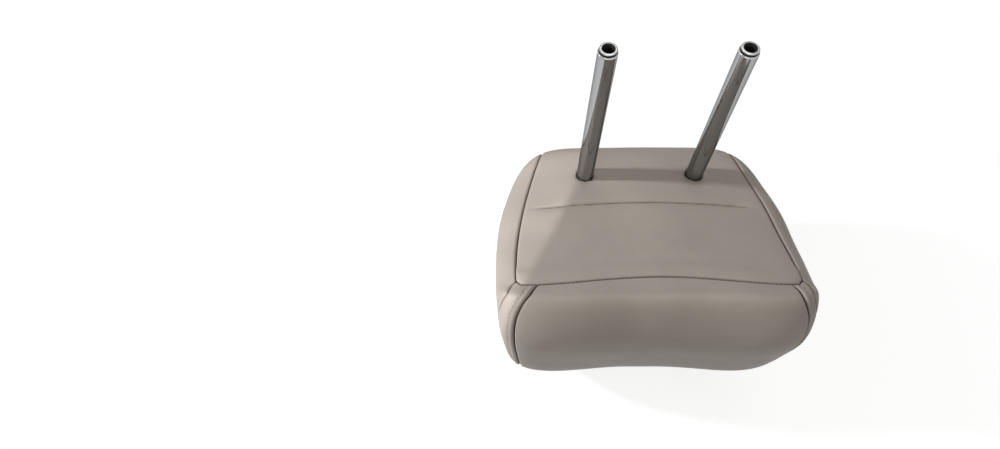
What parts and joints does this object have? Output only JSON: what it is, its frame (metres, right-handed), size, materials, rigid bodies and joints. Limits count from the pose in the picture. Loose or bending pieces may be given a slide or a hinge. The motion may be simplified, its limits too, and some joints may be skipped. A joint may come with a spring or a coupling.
{
  "type": "car seat headrest",
  "caption": "Padded leather car headrest with a sewn panelled cover on a moulded foam body, a plastic core and hollow chromed steel posts bent from one tube.",
  "frame": {"origin": "on the flattened crown that the headrest stands on, in the middle of its width, 63 mm in front of the posts", "axes": "+Z along the posts towards their tips, +X to the right seen from the face, +Y towards the back of the headrest"},
  "size_m": [0.241, 0.1898, 0.297],
  "materials": {
    "cover_face": "satin fine grain",
    "cover_underside": "satin fine grain",
    "cover_back": "satin fine grain",
    "cover_side_left": "satin fine grain",
    "cover_side_right": "satin fine grain",
    "cover_gusset_left": "satin fine grain",
    "cover_gusset_right": "satin fine grain",
    "closure_strip_front": "extruded",
    "closure_strip_rear": "extruded",
    "foam_body": "open cell foam",
    "core_half_front": "moulded",
    "core_half_rear": "moulded",
    "core_screws": "zinc plated",
    "post_tube": "polished chrome",
    "post_collars": "moulded"
  },
  "bodies": {
    "root": {"cover_face": "cover_face", "cover_underside": "cover_underside", "cover_back": "cover_back", "cover_side_left": "cover_side_left", "cover_side_right": "cover_side_right", "cover_gusset_left": "cover_gusset_left", "cover_gusset_right": "cover_gusset_right", "closure_strip_front": "closure_strip_front", "closure_strip_rear": "closure_strip_rear", "foam_body": "foam_body", "core_half_front": "core_half_front", "core_half_rear": "core_half_rear", "core_screw_lower_left": "core_screws", "core_screw_lower_right": "core_screws", "core_screw_upper_left": "core_screws", "core_screw_upper_right": "core_screws", "post_tube": "post_tube", "post_collar_left": "post_collars", "post_collar_right": "post_collars"}
  },
  "joints": []
}
